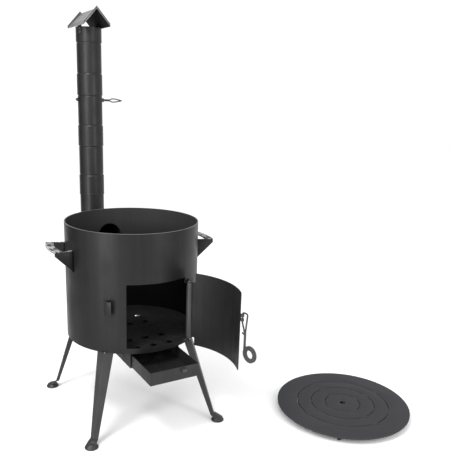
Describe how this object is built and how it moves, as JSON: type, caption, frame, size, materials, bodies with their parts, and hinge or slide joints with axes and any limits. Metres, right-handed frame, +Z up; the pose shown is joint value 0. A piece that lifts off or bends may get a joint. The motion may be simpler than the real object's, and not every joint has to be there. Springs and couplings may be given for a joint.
{
  "type": "cauldron stove",
  "caption": "Wood-burning sheet-steel stove for a cauldron: round barrel on splayed legs, curved door, ash drawer, rear chimney with damper and cap, loose cooking rings.",
  "frame": {"origin": "on the ground, under the centre of the whole set's bounding box; the barrel's axis is 265 mm towards -X and 65 mm towards +Y of it", "axes": "+Z up along the barrel and chimney; the fire door and ash drawer face -Y; the chimney is at +Y; the ring set stands towards +X and -Y"},
  "size_m": [1.04, 1.03, 1.2336],
  "materials": {
    "barrel_paint": "matte black heat-proof paint on rolled steel",
    "pipe_paint": "satin black heat-proof paint on thin rolled sheet",
    "soot_paint": "matte black, dull and sooty",
    "handle_paint": "matte black paint, slightly streaked",
    "leg_paint": "matte black paint on pressed steel",
    "fitting_paint": "matte black paint on wire and forged fittings",
    "ring_iron": "dark, fine-grained and slightly oiled"
  },
  "bodies": {
    "stove": {"barrel": "barrel_paint", "floor_plate": "soot_paint", "hinge_lug_bottom": "fitting_paint", "hinge_lug_top": "fitting_paint", "hinge_pin": "fitting_paint", "latch_keeper": "barrel_paint", "handle_left": "handle_paint", "handle_right": "handle_paint", "leg_rear_right": "leg_paint", "leg_rear_left": "leg_paint", "leg_front_left": "leg_paint", "leg_front_right": "leg_paint", "drawer_runner_left": "barrel_paint", "drawer_runner_right": "barrel_paint", "flue_stub": "pipe_paint", "flue_elbow": "pipe_paint"},
    "door": {"door_panel": "barrel_paint", "hinge_sleeve": "barrel_paint", "latch_bracket": "fitting_paint"},
    "latch": {"latch_handle": "fitting_paint"},
    "drawer": {"ash_drawer": "barrel_paint", "drawer_pull": "fitting_paint"},
    "chimney_lower": {"pipe_section_1": "pipe_paint"},
    "chimney_middle": {"pipe_section_2": "pipe_paint", "damper_bush": "fitting_paint"},
    "chimney_upper": {"pipe_section_3": "pipe_paint"},
    "damper": {"damper_rod": "fitting_paint", "damper_plate": "soot_paint", "damper_nut": "fitting_paint"},
    "rain_cap": {"cap_collar": "pipe_paint", "cap_roof": "pipe_paint", "cap_strap_left": "pipe_paint", "cap_strap_right": "pipe_paint"},
    "ring_outer": {"outer_ring": "ring_iron", "ring_lug_1": "ring_iron", "ring_lug_2": "ring_iron", "ring_lug_3": "ring_iron", "ring_lug_4": "ring_iron"},
    "ring_middle": {"middle_ring": "ring_iron"},
    "ring_small": {"small_ring": "ring_iron"},
    "ring_disc": {"centre_disc": "ring_iron"}
  },
  "joints": [
    {"name": "door_hinge", "type": "hinge", "parent": "stove", "child": "door", "pos_m": [-0.15456, -0.1077, 0.35], "axis": [0, 0, 1], "range_deg": [-100.5, 49.5]},
    {"name": "latch_pivot", "type": "hinge", "parent": "door", "child": "latch", "pos_m": [-0.11398, -0.33231, 0.397], "axis": [0, 0, 1], "range_deg": [-36.4, 93.6]},
    {"name": "drawer_slide", "type": "slide", "parent": "stove", "child": "drawer", "axis": [0, -1, 0], "range_m": [-0.1, 0.1]},
    {"name": "chimney_lower_lift", "type": "slide", "parent": "stove", "child": "chimney_lower", "axis": [0, 0, 1], "range_m": [0, 0.035]},
    {"name": "chimney_middle_lift", "type": "slide", "parent": "chimney_lower", "child": "chimney_middle", "axis": [0, 0, 1], "range_m": [0, 0.035]},
    {"name": "chimney_upper_lift", "type": "slide", "parent": "chimney_middle", "child": "chimney_upper", "axis": [0, 0, 1], "range_m": [0, 0.035]},
    {"name": "rain_cap_lift", "type": "slide", "parent": "chimney_upper", "child": "rain_cap", "axis": [0, 0, 1], "range_m": [0, 0.04]},
    {"name": "damper_turn", "type": "hinge", "parent": "chimney_middle", "child": "damper", "pos_m": [-0.265, 0.43, 0.9445], "axis": [1, 0, 0], "range_deg": [0, 90]},
    {"name": "outer_ring_lift", "type": "slide", "parent": "stove", "child": "ring_outer", "axis": [0, 0, 1], "range_m": [0, 0.04]},
    {"name": "middle_ring_lift", "type": "slide", "parent": "ring_outer", "child": "ring_middle", "axis": [0, 0, 1], "range_m": [0, 0.04]},
    {"name": "small_ring_lift", "type": "slide", "parent": "ring_middle", "child": "ring_small", "axis": [0, 0, 1], "range_m": [0, 0.04]},
    {"name": "disc_lift", "type": "slide", "parent": "ring_small", "child": "ring_disc", "axis": [0, 0, 1], "range_m": [0, 0.04]}
  ]
}
